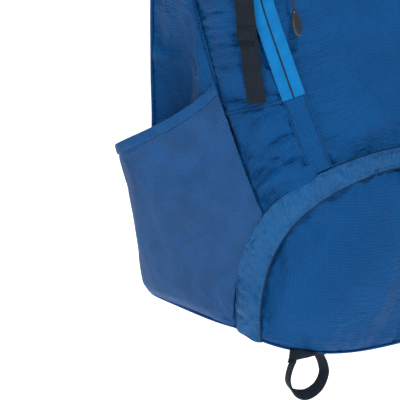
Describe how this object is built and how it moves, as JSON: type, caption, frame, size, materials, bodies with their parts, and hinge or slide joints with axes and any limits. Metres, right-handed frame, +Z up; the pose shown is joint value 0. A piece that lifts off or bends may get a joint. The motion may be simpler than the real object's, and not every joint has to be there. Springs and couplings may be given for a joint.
{
  "type": "hiking daypack",
  "caption": "Top-loading hiking daypack with a buckled lid, mesh side pockets, side zips, an arched bottom compartment, padded straps and gear loops.",
  "frame": {"origin": "the underside of the haul loop's top, where the pack hangs on a hook", "axes": "+X towards the wearer's right, +Y towards the wearer's back, +Z up; the front of the pack faces -Y"},
  "size_m": [0.393, 0.3041, 0.5504],
  "materials": {
    "ripstop": "woven ripstop with a soft sheen",
    "shiny_ripstop": "thin coated cloth, slightly glossy",
    "base_cloth": "dark navy heavy cloth",
    "pocket_mesh": "fine stretch mesh, slightly see-through",
    "elastic_hem": "ribbed elastic binding",
    "zip_tape": "woven zip tape with a covered coil",
    "zip_slider": "smooth dark slider",
    "cord": "braided black cord",
    "moulded_grip": "glossy moulded rubbery plastic",
    "padding": "air mesh over foam",
    "frame_plastic": "matt extruded sheet",
    "stay_metal": "satin",
    "webbing": "woven webbing",
    "buckle_plastic": "satin moulded plastic"
  },
  "bodies": {
    "pack": {"back_panel": "ripstop", "side_panel_left": "ripstop", "side_panel_right": "ripstop", "lower_gusset_left": "ripstop", "lower_gusset_right": "ripstop", "gusset_left": "ripstop", "gusset_right": "ripstop", "front_panel": "ripstop", "front_upper_panel": "ripstop", "compartment_panel": "ripstop", "collar": "ripstop", "arch_flap": "shiny_ripstop", "bottom_panel": "base_cloth", "mesh_pocket_left": "pocket_mesh", "mesh_pocket_right": "pocket_mesh", "pocket_hem_left": "elastic_hem", "pocket_hem_right": "elastic_hem", "side_zip_left": "zip_tape", "side_zip_right": "zip_tape", "pocket_zip": "zip_tape", "arch_zip": "zip_tape", "back_pad_left": "padding", "back_pad_right": "padding", "lumbar_pad": "padding", "frame_sheet": "frame_plastic", "frame_stay": "stay_metal", "haul_loop": "webbing", "strap_anchor_left": "webbing", "strap_anchor_right": "webbing", "shoulder_webbing_left": "webbing", "shoulder_webbing_right": "webbing", "buckle_socket_left": "buckle_plastic", "buckle_socket_right": "buckle_plastic"},
    "lid": {"lid_top": "ripstop", "lid_base": "ripstop", "lid_zip": "zip_tape", "lid_strap_left": "webbing", "lid_strap_right": "webbing", "buckle_plug_left": "buckle_plastic", "buckle_plug_right": "buckle_plastic", "strap_tail_left": "webbing", "strap_tail_right": "webbing"},
    "lid_slider": {"lid_slider": "zip_slider"},
    "shoulder_left": {"shoulder_pad_left": "padding", "ladder_lock_left": "buckle_plastic"},
    "shoulder_right": {"shoulder_pad_right": "padding", "ladder_lock_right": "buckle_plastic", "sternum_webbing_right": "webbing", "sternum_socket": "buckle_plastic"},
    "sternum_half": {"sternum_webbing_left": "webbing", "sternum_plug": "buckle_plastic"},
    "side_slider_left": {"side_slider_left": "zip_slider"},
    "side_slider_right": {"side_slider_right": "zip_slider"},
    "pocket_slider": {"pocket_slider": "zip_slider"},
    "puller": {"puller_cord": "cord", "puller_grip": "moulded_grip"},
    "arch_slider_left": {"arch_slider_left": "zip_slider"},
    "arch_slider_right": {"arch_slider_right": "zip_slider"},
    "bottom_loop_left": {"bottom_loop_left": "webbing"},
    "bottom_loop_right": {"bottom_loop_right": "webbing"}
  },
  "joints": [
    {"name": "lid_hinge", "type": "hinge", "parent": "pack", "child": "lid", "pos_m": [0, -0.008, 0.006], "axis": [-1, 0, 0], "range_deg": [0, 90]},
    {"name": "lid_zip_slide", "type": "slide", "parent": "lid", "child": "lid_slider", "axis": [1, 0, 0], "range_m": [0, 0.152]},
    {"name": "shoulder_left_swing", "type": "hinge", "parent": "pack", "child": "shoulder_left", "pos_m": [-0.048, -0.0055, -0.032], "axis": [1, 0, 0], "range_deg": [0, 35]},
    {"name": "shoulder_right_swing", "type": "hinge", "parent": "pack", "child": "shoulder_right", "pos_m": [0.048, -0.0055, -0.032], "axis": [1, 0, 0], "range_deg": [0, 35]},
    {"name": "sternum_release", "type": "slide", "parent": "shoulder_left", "child": "sternum_half", "axis": [-1, 0, 0], "range_m": [0, 0.028]},
    {"name": "side_zip_left_slide", "type": "slide", "parent": "pack", "child": "side_slider_left", "axis": [0.1152, -0.2838, -0.9519], "range_m": [0, 0.11]},
    {"name": "side_zip_right_slide", "type": "slide", "parent": "pack", "child": "side_slider_right", "axis": [-0.1152, -0.2838, -0.9519], "range_m": [0, 0.11]},
    {"name": "pocket_zip_slide", "type": "slide", "parent": "pack", "child": "pocket_slider", "axis": [1, 0, 0], "range_m": [0, 0.18]},
    {"name": "puller_swing", "type": "hinge", "parent": "pocket_slider", "child": "puller", "pos_m": [-0.096, -0.1887, -0.076], "axis": [-1, 0, 0], "range_deg": [0, 80]},
    {"name": "arch_zip_left_slide", "type": "hinge", "parent": "pack", "child": "arch_slider_left", "pos_m": [0, -0.1974, -0.416], "axis": [0, -0.9406, -0.3395], "range_deg": [0, 24]},
    {"name": "arch_zip_right_slide", "type": "hinge", "parent": "pack", "child": "arch_slider_right", "pos_m": [0, -0.1974, -0.416], "axis": [0, 0.9406, 0.3395], "range_deg": [0, 24]},
    {"name": "bottom_loop_left_swing", "type": "hinge", "parent": "pack", "child": "bottom_loop_left", "pos_m": [-0.091, -0.215, -0.433], "axis": [1, 0, 0], "range_deg": [-32, 40]},
    {"name": "bottom_loop_right_swing", "type": "hinge", "parent": "pack", "child": "bottom_loop_right", "pos_m": [0.091, -0.215, -0.433], "axis": [1, 0, 0], "range_deg": [-32, 40]}
  ],
  "couplings": [
    {"joint": "shoulder_right_swing", "follows": "shoulder_left_swing", "ratio": 1}
  ]
}
